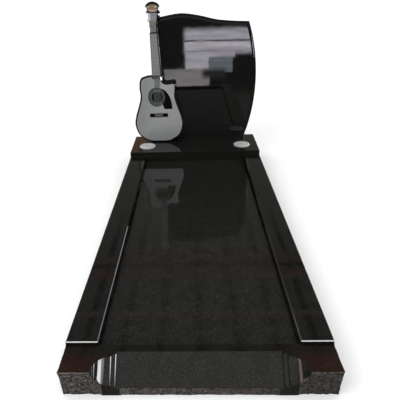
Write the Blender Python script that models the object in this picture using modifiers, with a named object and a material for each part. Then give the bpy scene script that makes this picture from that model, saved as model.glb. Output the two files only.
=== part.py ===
"""A guitar headstone on its base, with kerbs, a sunk cover slab and two flower containers.

Units are metres. X runs to the right, Y runs from the foot of the plot to the headstone, Z is up.
The origin is on the ground at the middle of the plot.
"""

import math

import bmesh
import bpy
from mathutils import Matrix, Vector

# The plot
PLOT_WIDTH = 0.914
PLOT_LENGTH = 2.130
JOINT = 0.001
REST_GAP = 0.0003
ARRIS = 0.003

# The blocks
FRONT_KERB_DEPTH = 0.113
FRONT_KERB_HEIGHT = 0.1125
SIDE_KERB_WIDTH = 0.112
SIDE_KERB_HEIGHT = 0.1255
BASE_DEPTH = 0.346
BASE_HEIGHT = 0.158

# The cover slab lies on rebates cut in the side kerbs
LEDGER_SINK = 0.032
LEDGER_THICKNESS = 0.050
REBATE_WIDTH = 0.025

# The sloping recessed panel in the front kerb, its two steps and its end coves
PANEL_FOOT = 0.0317
PANEL_TOP_SETBACK = 0.0838
PANEL_HALF_WIDTH = 0.2755
STEP_HALF_WIDTH = 0.291
STEP_HEIGHTS = (0.008, 0.0145)
STEP_ARRIS = 0.0025
COVE_WIDTH = 0.0615

# The slab
SLAB_THICKNESS = 0.050
SLAB_EDGE_ROUNDING = 0.026
SLAB_SIDE_RADIUS = 1.236
SLAB_WIDEST_X = 0.448
SLAB_WIDEST_HEIGHT = 0.400
SLAB_LEFT_X = -0.275
SLAB_TOP_KNOTS = (
    (-0.275, 0.829),
    (-0.203, 0.841),
    (-0.081, 0.857),
    (0.040, 0.842),
    (0.162, 0.814),
    (0.284, 0.802),
    (0.381, 0.797),
)

# The guitar stands proud of the slab. Its front leans back from its foot, its back stays upright.
GUITAR_CENTRE = -0.2555
GUITAR_FOOT_RELIEF = 0.087
GUITAR_ROOT = 0.007
GUITAR_LEAN = math.radians(4.0)

# Half widths of the guitar's body by height over the base, then its shoulder and its cutaway
BODY_CHAMFER = 0.0095
BODY_SIDE_KNOTS = (
    (0.040, 0.000),
    (0.087, 0.008),
    (0.1525, 0.053),
    (0.1795, 0.130),
    (0.168, 0.2005),
    (0.152, 0.2435),
    (0.128, 0.324),
    (0.1313, 0.3855),
)
SHOULDER_KNOTS = ((0.1313, 0.3855), (0.123, 0.445), (0.088, 0.4705), (0.036, 0.479))
HORN_KNOTS = (
    (0.1313, 0.3855),
    (0.1305, 0.410),
    (0.117, 0.4275),
    (0.090, 0.4255),
    (0.0585, 0.424),
    (0.0385, 0.436),
    (0.0310, 0.457),
)
HORN_END = (0.0275, 0.479)

# The neck tapers upward, a little behind the body's face
NECK_SETBACK = 0.005
NECK_CHAMFER = 0.005
NECK_CORNERS = ((-0.0363, 0.440), (0.0300, 0.440), (0.0165, 0.7475), (-0.0350, 0.7475))
NUT_HEIGHT = 0.7475

# The guitar's own headstock carries three tuning knobs a side
HEADSTOCK_CENTRE = -0.2635
HEADSTOCK_SETBACK = 0.006
HEADSTOCK_CHAMFER = 0.006
HEADSTOCK_KNOTS = ((0.0225, 0.744), (0.0255, 0.795), (0.0310, 0.835), (0.0345, 0.872), (0.0385, 0.894))
CROWN_KNOTS = ((0.0490, 0.905), (0.0360, 0.920), (0.0180, 0.929), (0.0, 0.932))
CROWN_GROOVE_HEIGHT = 0.868
# Each knob: side, distance from the headstock's middle, height and radius
KNOBS = (
    (-1, 0.0340, 0.869, 0.0100),
    (-1, 0.0275, 0.822, 0.0095),
    (-1, 0.0215, 0.787, 0.0075),
    (1, 0.0375, 0.869, 0.0105),
    (1, 0.0345, 0.838, 0.0135),
    (1, 0.0275, 0.789, 0.0095),
)
KNOB_DEPTH = 0.009

# The flower containers
HOLE_X = 0.343
HOLE_SETBACK = 0.116
HOLE_RADIUS = 0.052
HOLE_DEPTH = 0.102
LINER_RADIUS = 0.049
LINER_WALL = 0.0015
LINER_DEPTH = 0.088
ROUND_STEPS = 16
FLANGE_RADIUS = 0.0555
FLANGE_THICKNESS = 0.0015
LID_RADIUS = 0.0575
LID_THICKNESS = 0.0045
PERFORATION_RADIUS = 0.0060
PERFORATION_RINGS = ((1, 0.0), (6, 0.0200), (12, 0.0400))

FRONT = -PLOT_LENGTH / 2
BACK = PLOT_LENGTH / 2
KERB_FRONT = FRONT + FRONT_KERB_DEPTH
BASE_FRONT = BACK - BASE_DEPTH
HALF_WIDTH = PLOT_WIDTH / 2
KERB_INSIDE = HALF_WIDTH - SIDE_KERB_WIDTH
LEDGER_TOP = SIDE_KERB_HEIGHT - LEDGER_SINK
LEDGER_UNDERSIDE = LEDGER_TOP - LEDGER_THICKNESS
STONE_FOOT = BASE_HEIGHT + REST_GAP
SLAB_FRONT = BACK - SLAB_THICKNESS
GUITAR_FRONT = SLAB_FRONT - GUITAR_FOOT_RELIEF
GUITAR_BACK = SLAB_FRONT + GUITAR_ROOT

BLACK_GRANITE = ((0.012, 0.012, 0.011), 0.08, 0.0)
ETCHED_GRANITE = ((0.030, 0.031, 0.030), 0.15, 0.0)
SPUN_ALUMINIUM = ((0.78, 0.79, 0.80), 0.35, 1.0)

# An outline drawn in a plate's own plane stands upright and faces the foot of the plot
UPRIGHT = Matrix.Rotation(math.pi / 2, 4, "X")


def clear_scene():
    for obj in list(bpy.data.objects):
        bpy.data.objects.remove(obj)


def new_collection(name):
    collection = bpy.data.collections.new(name)
    bpy.context.scene.collection.children.link(collection)
    return collection


def new_material(name, finish):
    colour, roughness, metallic = finish
    material = bpy.data.materials.new(name)
    material.use_nodes = True
    shader = material.node_tree.nodes["Principled BSDF"]
    shader.inputs["Base Color"].default_value = (*colour, 1.0)
    shader.inputs["Roughness"].default_value = roughness
    shader.inputs["Metallic"].default_value = metallic
    return material


def object_from(name, shape, collection, place=None):
    """Puts a bmesh in the scene as one object with flat faces, and frees it."""
    for face in shape.faces:
        face.smooth = False
    mesh = bpy.data.meshes.new(name)
    shape.to_mesh(mesh)
    shape.free()
    obj = bpy.data.objects.new(name, mesh)
    obj.matrix_world = place or Matrix.Identity(4)
    collection.objects.link(obj)
    return obj


def make_piece(obj, finish):
    """Gives a finished piece its material."""
    obj.data.materials.append(new_material(obj.name + "_finish", finish))


def make_helper(obj):
    """Marks an object that only cuts or joins another."""
    obj.hide_render = True
    obj.display_type = "WIRE"
    return obj


def combine(obj, other, operation):
    modifier = obj.modifiers.new(operation.lower() + "_" + other.name, "BOOLEAN")
    modifier.object = make_helper(other)
    modifier.operation = operation


def smooth_run(knots, steps=4):
    """Points of a Catmull-Rom curve through the knots, both ends included."""
    knots = [Vector(knot) for knot in knots]
    knots = [2 * knots[0] - knots[1], *knots, 2 * knots[-1] - knots[-2]]
    run = []
    for a, b, c, d in zip(knots, knots[1:], knots[2:], knots[3:]):
        for step in range(steps):
            t = step / steps
            bend = (2 * a - 5 * b + 4 * c - d) * t * t + (3 * b - a - 3 * c + d) * t**3
            run.append(b + ((c - a) * t + bend) / 2)
    return run + [knots[-2]]


def box_bmesh(low, high):
    shape = bmesh.new()
    bmesh.ops.create_cube(shape, size=1.0)
    low = Vector(low)
    high = Vector(high)
    bmesh.ops.scale(shape, vec=high - low, verts=shape.verts)
    bmesh.ops.translate(shape, vec=(low + high) / 2, verts=shape.verts)
    return shape


def bevel_edges(shape, wanted, width, segments=1, profile=0.5):
    """Bevels the edges that a test picks by their two ends."""
    edges = [edge for edge in shape.edges if wanted(edge.verts[0].co, edge.verts[1].co)]
    bmesh.ops.bevel(
        shape,
        geom=edges,
        offset=width,
        offset_type="OFFSET",
        segments=segments,
        profile=profile,
        affect="EDGES",
        clamp_overlap=False,
    )


def plate(name, outline, thickness, collection, place, edge=None):
    """A flat outline with thickness, centred on its plane. edge(shape) may shape its edges."""
    curve = bpy.data.curves.new(name, "CURVE")
    curve.dimensions = "2D"
    curve.fill_mode = "BOTH"
    curve.extrude = thickness / 2
    spline = curve.splines.new("POLY")
    spline.points.add(len(outline) - 1)
    for point, (x, y) in zip(spline.points, outline):
        point.co = (x, y, 0.0, 1.0)
    spline.use_cyclic_u = True
    guide = bpy.data.objects.new(name, curve)
    guide.matrix_world = place
    collection.objects.link(guide)
    graph = bpy.context.evaluated_depsgraph_get()
    mesh = bpy.data.meshes.new_from_object(guide.evaluated_get(graph))
    bpy.data.objects.remove(guide)

    shape = bmesh.new()
    shape.from_mesh(mesh)
    bpy.data.meshes.remove(mesh)
    bmesh.ops.remove_doubles(shape, verts=shape.verts, dist=1e-6)
    bmesh.ops.dissolve_limit(
        shape, angle_limit=math.radians(0.5), verts=shape.verts, edges=shape.edges
    )
    bmesh.ops.recalc_face_normals(shape, faces=shape.faces)
    if edge:
        edge(shape)
    return object_from(name, shape, collection, place)


def upright_plate(name, outline, front, back, collection, edge=None):
    """A plate whose outline is given in X and height over the base's top."""
    place = Matrix.Translation((0.0, (front + back) / 2, STONE_FOOT)) @ UPRIGHT
    return plate(name, outline, back - front, collection, place, edge)


def on_front(a, b, thickness):
    """Whether an edge lies in a plate's front plane."""
    return min(a.z, b.z) > thickness / 2 - 1e-5


def turned(name, profile, steps, collection, place):
    """A profile of radius and height turned about the vertical, from the axis round to the axis."""
    shape = bmesh.new()
    points = [shape.verts.new((radius, 0.0, height)) for radius, height in profile]
    for a, b in zip(points, points[1:]):
        shape.edges.new((a, b))
    obj = object_from(name, shape, collection, Matrix.Translation(place))
    screw = obj.modifiers.new("turning", "SCREW")
    screw.steps = steps
    screw.render_steps = steps
    screw.use_merge_vertices = True
    screw.merge_threshold = 1e-5
    return obj


def slab_outline():
    """The slab's outline: a wave along the top, a long arc down its right side, flat below."""
    top = smooth_run(SLAB_TOP_KNOTS)
    centre_x = SLAB_WIDEST_X - SLAB_SIDE_RADIUS
    reach = math.asin((SLAB_TOP_KNOTS[-1][1] - SLAB_WIDEST_HEIGHT) / SLAB_SIDE_RADIUS)
    steps = 16
    side = []
    for step in range(1, steps + 1):
        angle = reach + (-math.asin(SLAB_WIDEST_HEIGHT / SLAB_SIDE_RADIUS) - reach) * step / steps
        x = centre_x + SLAB_SIDE_RADIUS * math.cos(angle)
        side.append(Vector((x, SLAB_WIDEST_HEIGHT + SLAB_SIDE_RADIUS * math.sin(angle))))
    return top + side + [Vector((SLAB_LEFT_X, 0.0))]


def mirrored(run, centre, side):
    """Half widths and heights as points left (-1) or right (+1) of a centre line."""
    return [Vector((centre + side * x, y)) for x, y in run]


def body_outline():
    """The guitar's body, closed by a straight line across the neck's foot."""
    lower = smooth_run(BODY_SIDE_KNOTS)
    left = mirrored(lower + smooth_run(SHOULDER_KNOTS)[1:], GUITAR_CENTRE, -1)
    right = mirrored(lower + smooth_run(HORN_KNOTS)[1:] + [HORN_END], GUITAR_CENTRE, 1)
    return left + right[::-1]


def headstock_outline():
    side = smooth_run(HEADSTOCK_KNOTS, 3) + smooth_run(CROWN_KNOTS, 3)
    left = mirrored(side, HEADSTOCK_CENTRE, -1)
    right = mirrored(side[:-1], HEADSTOCK_CENTRE, 1)
    return left + right[::-1]


def add_slab(pieces):
    thickness = BACK - SLAB_FRONT

    def round_edge(shape):
        def wanted(a, b):
            hidden = max(a.x, b.x) < SLAB_LEFT_X + 1e-4 or max(a.y, b.y) < 1e-4
            return on_front(a, b, thickness) and not hidden

        bevel_edges(shape, wanted, SLAB_EDGE_ROUNDING, segments=4)

    return upright_plate("headstone", slab_outline(), SLAB_FRONT, BACK, pieces, round_edge)


def leaning_plate(name, outline, setback, helpers, width, wanted):
    """A plate with a chamfered front that leans back from its foot, and an upright back.

    The setback takes it behind the body's face, and half as much in from the body's back.
    """
    front = GUITAR_FRONT + setback
    back = GUITAR_BACK - setback / 2
    thickness = back - front

    def chamfer_and_lean(shape):
        bevel_edges(shape, lambda a, b: on_front(a, b, thickness) and wanted(a, b), width)
        for vert in shape.verts:
            if vert.co.z > -thickness / 2 + 1e-5:
                vert.co.z -= vert.co.y * math.tan(GUITAR_LEAN)

    return upright_plate(name, outline, front, back, helpers, chamfer_and_lean)


def add_body(helpers):
    return leaning_plate("guitar_body", body_outline(), 0.0, helpers, BODY_CHAMFER, lambda a, b: True)


def add_neck(helpers):
    """The neck, chamfered on its right side only."""
    outline = [(GUITAR_CENTRE + x, height) for x, height in NECK_CORNERS]

    def on_right(a, b):
        return min(a.x, b.x) > GUITAR_CENTRE

    return leaning_plate("guitar_neck", outline, NECK_SETBACK, helpers, NECK_CHAMFER, on_right)


def add_headstock(helpers):
    return leaning_plate(
        "guitar_headstock",
        headstock_outline(),
        HEADSTOCK_SETBACK,
        helpers,
        HEADSTOCK_CHAMFER,
        lambda a, b: True,
    )


def headstock_face(height):
    """How far back the headstock's face lies at a height over the base."""
    return GUITAR_FRONT + HEADSTOCK_SETBACK + height * math.tan(GUITAR_LEAN)


def add_knobs(helpers):
    """The tuning knobs, carved as smooth lobes on the headstock's sides."""
    shape = bmesh.new()
    for side, across, height, radius in KNOBS:
        made = bmesh.ops.create_uvsphere(shape, u_segments=10, v_segments=7, radius=radius)
        bmesh.ops.scale(shape, vec=(1.1, KNOB_DEPTH / radius, 1.0), verts=made["verts"])
        x = HEADSTOCK_CENTRE + side * across
        y = headstock_face(height) + 0.015
        bmesh.ops.translate(shape, vec=(x, y, STONE_FOOT + height), verts=made["verts"])
    return object_from("tuning_knobs", shape, helpers)


def add_nut(helpers):
    y = headstock_face(NUT_HEIGHT)
    low = (GUITAR_CENTRE - 0.0330, y - 0.004, STONE_FOOT + NUT_HEIGHT - 0.006)
    high = (GUITAR_CENTRE + 0.0170, y + 0.02, STONE_FOOT + NUT_HEIGHT + 0.002)
    return object_from("nut", box_bmesh(low, high), helpers)


def add_crown_groove(helpers):
    """A V groove across the headstock, under its crown."""
    size = 0.0045
    y = headstock_face(CROWN_GROOVE_HEIGHT)
    place = Matrix.Translation((HEADSTOCK_CENTRE, y, STONE_FOOT + CROWN_GROOVE_HEIGHT))
    shape = box_bmesh((-0.07, -size / 2, -size / 2), (0.07, size / 2, size / 2))
    return object_from("crown_groove", shape, helpers, place @ Matrix.Rotation(math.pi / 4, 4, "X"))


def add_headstone(pieces, helpers):
    stone = add_slab(pieces)
    combine(stone, add_body(helpers), "UNION")
    combine(stone, add_neck(helpers), "UNION")
    combine(stone, add_headstock(helpers), "UNION")
    combine(stone, add_knobs(helpers), "UNION")
    combine(stone, add_nut(helpers), "UNION")
    combine(stone, add_crown_groove(helpers), "DIFFERENCE")
    make_piece(stone, ETCHED_GRANITE)


def add_base(pieces, helpers):
    """The base block, with a blind round hole for each flower container."""
    low = (-HALF_WIDTH, BASE_FRONT, 0.0)
    high = (HALF_WIDTH, BACK, BASE_HEIGHT)
    shape = box_bmesh(low, high)
    bevel_edges(shape, lambda a, b: min(a.z, b.z) > BASE_HEIGHT - 1e-5, ARRIS)
    base = object_from("headstone_base", shape, pieces)
    holes = bmesh.new()
    for side in (-1, 1):
        made = bmesh.ops.create_cone(
            holes,
            cap_ends=True,
            segments=ROUND_STEPS,
            radius1=HOLE_RADIUS,
            radius2=HOLE_RADIUS,
            depth=2 * HOLE_DEPTH,
        )
        spot = (side * HOLE_X, BASE_FRONT + HOLE_SETBACK, BASE_HEIGHT)
        bmesh.ops.translate(holes, vec=spot, verts=made["verts"])
    combine(base, object_from("container_holes", holes, helpers), "DIFFERENCE")
    make_piece(base, BLACK_GRANITE)


def add_side_kerb(name, side, pieces):
    """A long kerb, rebated along its inner foot to carry the cover slab."""
    rebate = KERB_INSIDE - REBATE_WIDTH
    shelf = LEDGER_UNDERSIDE - REST_GAP
    section = (
        (rebate, 0.0),
        (HALF_WIDTH, 0.0),
        (HALF_WIDTH, SIDE_KERB_HEIGHT),
        (KERB_INSIDE, SIDE_KERB_HEIGHT),
        (KERB_INSIDE, shelf),
        (rebate, shelf),
    )
    length = BASE_FRONT - KERB_FRONT - 2 * JOINT
    place = Matrix.Translation((0.0, (BASE_FRONT + KERB_FRONT) / 2, 0.0)) @ UPRIGHT
    outline = [(side * x, z) for x, z in section]

    def arris(shape):
        bevel_edges(shape, lambda a, b: min(a.y, b.y) > SIDE_KERB_HEIGHT - 1e-5, ARRIS)

    make_piece(plate(name, outline, length, pieces, place, arris), BLACK_GRANITE)


def add_ledger(pieces):
    x = KERB_INSIDE - JOINT
    low = (-x, KERB_FRONT + JOINT, LEDGER_UNDERSIDE)
    high = (x, BASE_FRONT - JOINT, LEDGER_TOP)
    shape = box_bmesh(low, high)
    bevel_edges(shape, lambda a, b: min(a.z, b.z) > LEDGER_TOP - 1e-5, ARRIS / 2)
    make_piece(object_from("ledger_slab", shape, pieces), BLACK_GRANITE)


def panel_profile():
    """Half the cut's section: panel, two steps and a cove, as half widths and heights off the panel."""
    first, second = STEP_HEIGHTS
    slope = math.atan2(FRONT_KERB_HEIGHT - PANEL_FOOT, PANEL_TOP_SETBACK)
    corner = (FRONT_KERB_HEIGHT - PANEL_FOOT) * math.cos(slope)
    profile = [(PANEL_HALF_WIDTH, 0.0), (PANEL_HALF_WIDTH, first - STEP_ARRIS)]
    profile += [(PANEL_HALF_WIDTH + STEP_ARRIS, first), (STEP_HALF_WIDTH, first)]
    profile += [(STEP_HALF_WIDTH, second - STEP_ARRIS), (STEP_HALF_WIDTH + STEP_ARRIS, second)]
    steps = 8
    for step in range(1, steps + 1):
        angle = math.pi / 2 * step / steps
        rise = (corner - second) * (1.0 - math.cos(angle))
        run = STEP_ARRIS + (COVE_WIDTH - STEP_ARRIS) * math.sin(angle)
        profile.append((STEP_HALF_WIDTH + run, second + rise))
    return slope, profile + [(profile[-1][0], 2 * corner)]


def add_front_kerb(pieces, helpers):
    """The foot block, with the sloping panel cut into its top front edge."""
    low = (-HALF_WIDTH, FRONT, 0.0)
    high = (HALF_WIDTH, KERB_FRONT, FRONT_KERB_HEIGHT)
    kerb = object_from("front_kerb", box_bmesh(low, high), pieces)
    slope, profile = panel_profile()
    outline = [(-x, h) for x, h in profile[::-1]] + profile
    place = Matrix.Translation((0.0, FRONT, PANEL_FOOT)) @ Matrix.Rotation(slope, 4, "X")
    cutter = plate("front_panel_cut", outline, 0.4, helpers, place @ UPRIGHT)
    combine(kerb, cutter, "DIFFERENCE")
    make_piece(kerb, BLACK_GRANITE)


def add_flower_container(name, side, pieces):
    """A spun liner: a thin cup that hangs in its hole by a flange."""
    inner = LINER_RADIUS - LINER_WALL
    profile = (
        (0.0, LINER_WALL - LINER_DEPTH),
        (inner, LINER_WALL - LINER_DEPTH),
        (inner, FLANGE_THICKNESS),
        (FLANGE_RADIUS, FLANGE_THICKNESS),
        (FLANGE_RADIUS, 0.0),
        (LINER_RADIUS, 0.0),
        (LINER_RADIUS, -LINER_DEPTH),
        (0.0, -LINER_DEPTH),
    )
    place = (side * HOLE_X, BASE_FRONT + HOLE_SETBACK, BASE_HEIGHT + REST_GAP)
    make_piece(turned(name, profile, ROUND_STEPS, pieces, place), SPUN_ALUMINIUM)


def add_flower_lid(name, side, pieces, helpers):
    """A flat lid that lies on the flange, pierced with rings of holes for flower stems."""
    under = FLANGE_THICKNESS + REST_GAP
    top = under + LID_THICKNESS
    profile = (
        (0.0, top),
        (LID_RADIUS - 0.006, top),
        (LID_RADIUS - 0.0015, top - 0.0015),
        (LID_RADIUS, top - 0.003),
        (LID_RADIUS, under),
        (0.0, under),
    )
    place = (side * HOLE_X, BASE_FRONT + HOLE_SETBACK, BASE_HEIGHT + REST_GAP)
    lid = turned(name, profile, 2 * ROUND_STEPS, pieces, place)
    holes = bmesh.new()
    for count, ring in PERFORATION_RINGS:
        for number in range(count):
            angle = 2 * math.pi * number / count
            made = bmesh.ops.create_cone(
                holes,
                cap_ends=True,
                segments=10,
                radius1=PERFORATION_RADIUS,
                radius2=PERFORATION_RADIUS,
                depth=4 * LID_THICKNESS,
            )
            spot = (ring * math.cos(angle), ring * math.sin(angle), top)
            bmesh.ops.translate(holes, vec=spot, verts=made["verts"])
    cutter = object_from(name + "_holes", holes, helpers, Matrix.Translation(place))
    combine(lid, cutter, "DIFFERENCE")
    make_piece(lid, SPUN_ALUMINIUM)


def main():
    clear_scene()
    pieces = new_collection("guitar_headstone")
    helpers = new_collection("guitar_headstone_helpers")
    add_headstone(pieces, helpers)
    add_base(pieces, helpers)
    add_front_kerb(pieces, helpers)
    add_side_kerb("left_kerb", -1, pieces)
    add_side_kerb("right_kerb", 1, pieces)
    add_ledger(pieces)
    for word, side in (("left", -1), ("right", 1)):
        add_flower_container(word + "_flower_container", side, pieces)
        add_flower_lid(word + "_flower_lid", side, pieces, helpers)


main()
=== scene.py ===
"""The looks of the guitar headstone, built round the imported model.

Units are metres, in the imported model's frame. X runs to the right, Y from the foot of the plot to the
headstone, Z is up, and the origin is on the ground at the middle of the plot.
"""

import math

import bmesh
import bpy
from mathutils import Matrix, Vector, noise

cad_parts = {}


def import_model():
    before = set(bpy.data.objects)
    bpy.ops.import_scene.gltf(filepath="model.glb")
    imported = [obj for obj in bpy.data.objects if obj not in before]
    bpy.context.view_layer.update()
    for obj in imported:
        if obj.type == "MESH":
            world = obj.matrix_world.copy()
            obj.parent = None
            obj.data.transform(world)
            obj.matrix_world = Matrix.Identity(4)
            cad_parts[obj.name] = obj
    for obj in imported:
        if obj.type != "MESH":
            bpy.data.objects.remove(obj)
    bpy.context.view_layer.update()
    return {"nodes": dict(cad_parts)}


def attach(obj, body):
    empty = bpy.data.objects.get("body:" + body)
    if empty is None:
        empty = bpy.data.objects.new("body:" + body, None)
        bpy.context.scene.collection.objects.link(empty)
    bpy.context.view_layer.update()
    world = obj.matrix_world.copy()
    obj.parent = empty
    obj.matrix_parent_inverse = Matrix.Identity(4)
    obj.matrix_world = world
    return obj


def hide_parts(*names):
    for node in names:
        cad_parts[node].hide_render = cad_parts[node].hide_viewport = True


# Places nearer each other than this count as one
NEAR = 1e-5

# The blocks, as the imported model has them
HALF_WIDTH = 0.457
FRONT = -1.065
BACK = 1.065
FRONT_KERB_DEPTH = 0.113
FRONT_KERB_HEIGHT = 0.1125
BASE_DEPTH = 0.346
BASE_HEIGHT = 0.158
RESTING_GAP = 0.0003
STONE_FOOT = BASE_HEIGHT + RESTING_GAP
KERB_FRONT = FRONT + FRONT_KERB_DEPTH
BASE_FRONT = BACK - BASE_DEPTH

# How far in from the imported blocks' sharp edges they are worn round
WORN_EDGE = 0.0008

# Material slots of the headstone, and of the front kerb. Slot 0 is the polished one in both.
GUITAR_SLOT = 1
HEADSTOCK_SLOT = 2
PITCHED_SLOT = 1
PANEL_SLOT = 2

# The sloping recessed panel in the front kerb, its two steps and its end coves
PANEL_FOOT = 0.0317
PANEL_TOP_SETBACK = 0.0838
PANEL_HALF_WIDTH = 0.2755
STEP_HALF_WIDTH = 0.291
STEP_HEIGHTS = (0.008, 0.0145)
STEP_ARRIS = 0.0025
COVE_WIDTH = 0.0615
PANEL_CUT_LENGTH = 0.4

# The pitched faces: depth of the relief, spacing of its points, sizes and shares of its flakes and grit
PITCH_RELIEF = 0.0080
PITCH_SPACING = 0.0026
PITCH_SEED = 5
PITCH_FLAKES = ((0.028, 0.62), (0.011, 0.28))
PITCH_GRIT = (0.004, 0.12)
# A flake's tilt, its step from its neighbours, and how far apart the noise behind them is read
FLAKE_TILT = 0.9
FLAKE_STEP = 0.5
FLAKE_STRIDE = 7.31
# The front is rubbed smooth between these half widths, to this depth. The strip inside them is less rough.
RUBBED_MARGIN = (0.262, 0.322)
RUBBED_DEPTH = 0.012
STRIP_SHARE = 0.5
# Lengths over which the relief fades out, and the share of it that is left at the top
FADE_TO_STRIP = 0.006
FADE_TO_END = 0.010
FADE_TO_KERB = 0.012
FADE_TO_TOP = 0.014
TOP_SHARE = 0.45

# The slab
SLAB_THICKNESS = 0.050
SLAB_EDGE_ROUNDING = 0.026
SLAB_SIDE_RADIUS = 1.236
SLAB_WIDEST_X = 0.448
SLAB_WIDEST_HEIGHT = 0.400
SLAB_LEFT_X = -0.275
SLAB_FRONT = BACK - SLAB_THICKNESS
SLAB_TOP_KNOTS = (
    (-0.275, 0.829),
    (-0.203, 0.841),
    (-0.081, 0.857),
    (0.040, 0.842),
    (0.162, 0.814),
    (0.284, 0.802),
    (0.381, 0.797),
)
# The line on which the top's rounding meets the side's: its direction, length and half width
MITRE_DIRECTION = (-0.603, -0.797)
MITRE_LENGTH = 0.045
MITRE_HALF_WIDTH = 0.0015

# The guitar stands proud of the slab. Its front leans back from its foot, its back stays upright.
GUITAR_CENTRE = -0.2555
GUITAR_FRONT = SLAB_FRONT - 0.087
GUITAR_BACK = SLAB_FRONT + 0.007
GUITAR_LEAN = math.radians(4.0)

# Half widths of the guitar's body by height over the base, then its shoulder and its cutaway
BODY_CHAMFER = 0.0095
BODY_RIM = 0.0025
BODY_SIDE_KNOTS = (
    (0.040, 0.000),
    (0.087, 0.008),
    (0.1525, 0.053),
    (0.1795, 0.130),
    (0.168, 0.2005),
    (0.152, 0.2435),
    (0.128, 0.324),
    (0.1313, 0.3855),
)
SHOULDER_KNOTS = ((0.1313, 0.3855), (0.123, 0.445), (0.088, 0.4705), (0.036, 0.479))
HORN_KNOTS = (
    (0.1313, 0.3855),
    (0.1305, 0.410),
    (0.117, 0.4275),
    (0.090, 0.4255),
    (0.0585, 0.424),
    (0.0385, 0.436),
    (0.0310, 0.457),
)
HORN_END = (0.0275, 0.479)

# The neck tapers upward, a little behind the body's face
NECK_SETBACK = 0.005
NECK_CHAMFER = 0.005
NECK_CORNERS = ((-0.0363, 0.440), (0.0300, 0.440), (0.0165, 0.7475), (-0.0350, 0.7475))
NUT_HEIGHT = 0.7475
# The nut, from the guitar's centre, the headstock's face and the neck's top: low corner, high corner
NUT_CORNERS = ((-0.0330, -0.004, -0.006), (0.0170, 0.020, 0.002))
NUT_ROUNDING = 0.001

# The guitar's own headstock carries three tuning knobs a side
HEADSTOCK_CENTRE = -0.2635
HEADSTOCK_SETBACK = 0.006
HEADSTOCK_CHAMFER = 0.006
HEADSTOCK_KNOTS = ((0.0225, 0.744), (0.0255, 0.795), (0.0310, 0.835), (0.0345, 0.872), (0.0385, 0.894))
CROWN_KNOTS = ((0.0490, 0.905), (0.0360, 0.920), (0.0180, 0.929), (0.0, 0.932))
CROWN_GROOVE_HEIGHT = 0.868
GROOVE_SIZE = 0.0045
GROOVE_HALF_LENGTH = 0.07
# Each knob: how far right of the headstock's middle, height and radius
KNOBS = (
    (-0.0340, 0.869, 0.0100),
    (-0.0275, 0.822, 0.0095),
    (-0.0215, 0.787, 0.0075),
    (0.0375, 0.869, 0.0105),
    (0.0345, 0.838, 0.0135),
    (0.0275, 0.789, 0.0095),
)
KNOB_DEPTH = 0.009
KNOB_STRETCH = 1.1
KNOB_SETBACK = 0.015

# What is etched on the guitar's face, in X and height over the base
ROSETTE_CENTRE = (-0.2664, 0.3280)
ROSETTE_RADII = (0.0615, 0.0665)
ROSETTE_INSIDE = 0.92
SOUNDHOLE_CENTRE = (-0.2617, 0.3280)
SOUNDHOLE_RADII = (0.0390, 0.0430)
BAR_HEIGHTS = (0.2880, 0.3650, 0.3740)
BAR_HALF_SIZE = (0.0230, 0.0018)
PICKGUARD_CENTRE = (-0.2480, 0.2480)
PICKGUARD_RADII = (0.0920, 0.1420)
PICKGUARD_FOOT = 0.2430
# A point on the pickguard's slanting left edge, and how far the edge goes right for each metre up
PICKGUARD_LEFT = (-0.2119, 0.2380)
PICKGUARD_SLANT = -0.356
BRIDGE_CENTRE = (-0.2565, 0.1994)
BRIDGE_HALF_SIZE = (0.0660, 0.0138)
SADDLE_RADII = (0.0320, 0.0175)
SADDLE_INSIDE = 0.80
FRETBOARD_X = GUITAR_CENTRE - 0.0015
FRETBOARD_FOOT = 0.3930
FRETBOARD_HALF_WIDTH = 0.0195
JOINT_X = GUITAR_CENTRE - 0.0045
JOINT_HALF_WIDTH = 0.0320
JOINT_BAND = (0.4520, 0.4655)
BODY_TOP = 0.4740
SCALE_LENGTH = NUT_HEIGHT - BRIDGE_CENTRE[1]
LINE_HALF_WIDTH = 0.0009

# The strings' middle and spread, at the bridge and at the nut, and half the width of their column
STRING_COUNT = 6
STRING_MIDDLES = (BRIDGE_CENTRE[0], GUITAR_CENTRE - 0.0025)
STRING_SPREADS = (0.0500, 0.0370)
STRINGS_HALF_WIDTH = 0.0250

# What is etched on the headstock's face, with painted reflection and painted highlights on it. A stretch of
# the strings shows again, higher up.
UPPER_STRINGS_RISE = 0.062
UPPER_STRINGS_FOOT = 0.700
HEADSTOCK_FOOT_BAND = 0.7515
DULL_TO_COOL = (0.812, 0.826)
WARM_TO_TAN = (0.878, 0.890)
# Left of this the headstock's face is painted pale, a painted highlight along its left edge
LEFT_HIGHLIGHT_X = HEADSTOCK_CENTRE - 0.017
OVAL_CENTRE = (HEADSTOCK_CENTRE + 0.0015, 0.8925)
OVAL_RADII = (0.0395, 0.0215)
OVAL_FOOT = CROWN_GROOVE_HEIGHT + 0.003
# Two painted highlights on the crown, as pale spots: centres and radii
HIGHLIGHT_SPOT_CENTRES = ((HEADSTOCK_CENTRE - 0.0320, 0.900), (HEADSTOCK_CENTRE + 0.0210, 0.900))
HIGHLIGHT_SPOT_RADII = (0.0060, 0.0050)

# The flower containers' lids, pierced by pins in rings: count and ring's radius
HOLE_X = 0.343
HOLE_Y = BASE_FRONT + 0.116
LID_RADIUS = 0.0575
LID_UNDER = 0.0018
LID_THICKNESS = 0.0045
LID_DISH = 0.0008
LID_DISH_SLOPE = (0.0090, 0.0075)
LID_ROLL = 0.003
LID_SOFTNESS = 0.0004
PIN_RADIUS = 0.0060
PIN_RINGS = ((1, 0.0), (6, 0.0200), (12, 0.0400))
PIN_LENGTH = 0.02
SPUN_MARKS = 5200.0

# The mirrored ceiling. Its beams lie at a distance north over height: near, far, softness, colour.
CEILING_STRIP_SPACING = 0.125
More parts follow.
